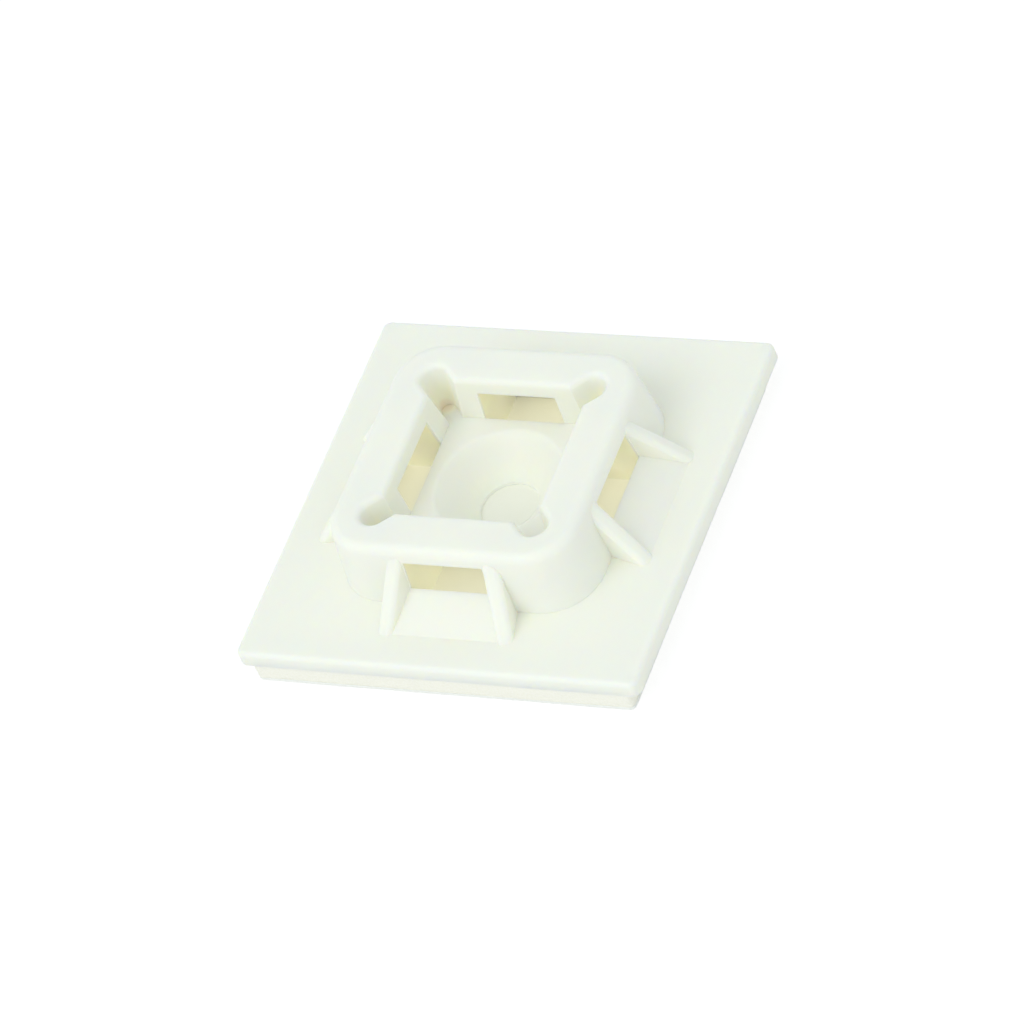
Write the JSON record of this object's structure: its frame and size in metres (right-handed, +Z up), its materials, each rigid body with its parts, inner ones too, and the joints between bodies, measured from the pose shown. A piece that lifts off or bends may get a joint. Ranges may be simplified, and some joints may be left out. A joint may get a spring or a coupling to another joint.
{
  "type": "cable tie mount",
  "caption": "Square self-adhesive plate with a raised open frame that a cable tie threads through from any side, and a countersunk screw hole in its middle.",
  "frame": {"origin": "centre of the plate, on the underside of the release liner", "axes": "+Z up, away from the surface that the mount sticks to; -Y is the edge that the foam pad is flush with; +X to the right"},
  "size_m": [0.028, 0.028, 0.0073],
  "materials": {
    "nylon": "natural white nylon, satin, slightly translucent",
    "foam": "white closed-cell foam tape, matt, with a roughly cut edge",
    "liner": "white coated paper, matt"
  },
  "bodies": {
    "root": {"mount_body": "nylon", "foam_tape": "foam", "release_liner": "liner"}
  },
  "joints": []
}
